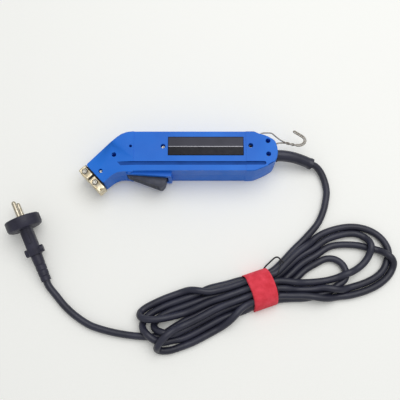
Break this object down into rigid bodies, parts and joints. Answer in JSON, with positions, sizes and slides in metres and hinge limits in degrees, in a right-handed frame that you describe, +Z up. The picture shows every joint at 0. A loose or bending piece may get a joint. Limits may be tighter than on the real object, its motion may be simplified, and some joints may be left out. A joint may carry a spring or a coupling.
{
  "type": "hot wire cutter",
  "caption": "Hand-held electric heating cutter: bent two-shell grip with trigger, blade clamps on the nose, hanging hook, and a flex bundled in a hank with a mains plug.",
  "frame": {"origin": "middle of the tool's own footprint, without its free flex, on the surface that it lies on", "axes": "+X along the grip from the blade clamps to the flex, +Y towards the grip's back, away from the trigger, +Z up out of the upper shell"},
  "size_m": [0.4308, 0.2482, 0.0399],
  "materials": {
    "blue_moulding": "satin moulded ABS, fine texture",
    "plate_film": "printed film, satin gloss",
    "plated_steel": "zinc plated",
    "nickel_brass": "nickel plated, worn",
    "black_board": "pressed insulating board",
    "copper": "bare copper bar",
    "laminated_steel": "lacquered laminations",
    "bobbin_nylon": "natural nylon",
    "enamelled_wire": "enamelled winding",
    "dark_moulding": "satin, ribbed",
    "spring_steel": "bright spring wire",
    "switch_moulding": "phenolic",
    "plunger_red": "smooth",
    "black_rubber": "smooth flex sheath, satin",
    "live_lead_pvc": "smooth sleeve",
    "neutral_lead_pvc": "smooth sleeve",
    "switched_lead_pvc": "smooth sleeve",
    "hook_steel": "dull steel wire",
    "red_webbing": "looped hook-and-loop tape",
    "black_moulding": "moulded rubberised plastic",
    "pin_brass": "nickel plated brass"
  },
  "bodies": {
    "body": {"bar_far": "copper", "bar_near": "copper", "cable_clamp": "dark_moulding", "cable_clamp_screw_1": "plated_steel", "cable_clamp_screw_2": "plated_steel", "cable_sleeve": "black_rubber", "clamp_block_long": "nickel_brass", "clamp_block_short": "nickel_brass", "clamp_insulator": "black_board", "clamp_screw_long": "plated_steel", "clamp_screw_short": "plated_steel", "cord_hank": "black_rubber", "cord_inner_end": "black_rubber", "cord_lead": "black_rubber", "cord_tail": "black_rubber", "hank_strap": "red_webbing", "housing_lower": "blue_moulding", "housing_screw_1": "plated_steel", "housing_screw_2": "plated_steel", "housing_screw_3": "plated_steel", "housing_screw_4": "plated_steel", "housing_screw_5": "plated_steel", "housing_screw_6": "plated_steel", "housing_screw_7": "plated_steel", "housing_upper": "blue_moulding", "live_lead": "live_lead_pvc", "neutral_lead": "neutral_lead_pvc", "plug_body": "black_moulding", "plug_earth_clip_1": "pin_brass", "plug_earth_clip_2": "pin_brass", "plug_pin_lower": "pin_brass", "plug_pin_upper": "pin_brass", "plug_strain_relief": "black_moulding", "primary_winding": "enamelled_wire", "rating_plate": "plate_film", "secondary_winding": "enamelled_wire", "switch_body": "switch_moulding", "switched_lead": "switched_lead_pvc", "transformer_bobbin": "bobbin_nylon", "transformer_core": "laminated_steel", "trigger_pin": "spring_steel", "trigger_spring": "spring_steel"},
    "trigger": {"trigger": "dark_moulding"},
    "switch_plunger": {"switch_plunger": "plunger_red"},
    "hook": {"hook_wire": "hook_steel"}
  },
  "joints": [
    {"name": "trigger", "type": "hinge", "parent": "body", "child": "trigger", "pos_m": [-0.07561, -0.01279, 0.019], "axis": [0, 0, 1], "range_deg": [0, 12], "stiffness_Nm_per_rad": 0.25, "springref_deg": -20.05, "deforming": ["trigger_spring"]},
    {"name": "switch_plunger", "type": "slide", "parent": "body", "child": "switch_plunger", "axis": [0, 1, 0], "range_m": [0, 0.0037]},
    {"name": "hook", "type": "hinge", "parent": "body", "child": "hook", "pos_m": [0.07814, 0.02346, 0.026], "axis": [0.8806, -0.4739, 0], "range_deg": [-12, 12]}
  ],
  "couplings": [
    {"joint": "switch_plunger", "follows": "trigger", "m_per_rad": 0.0172}
  ]
}
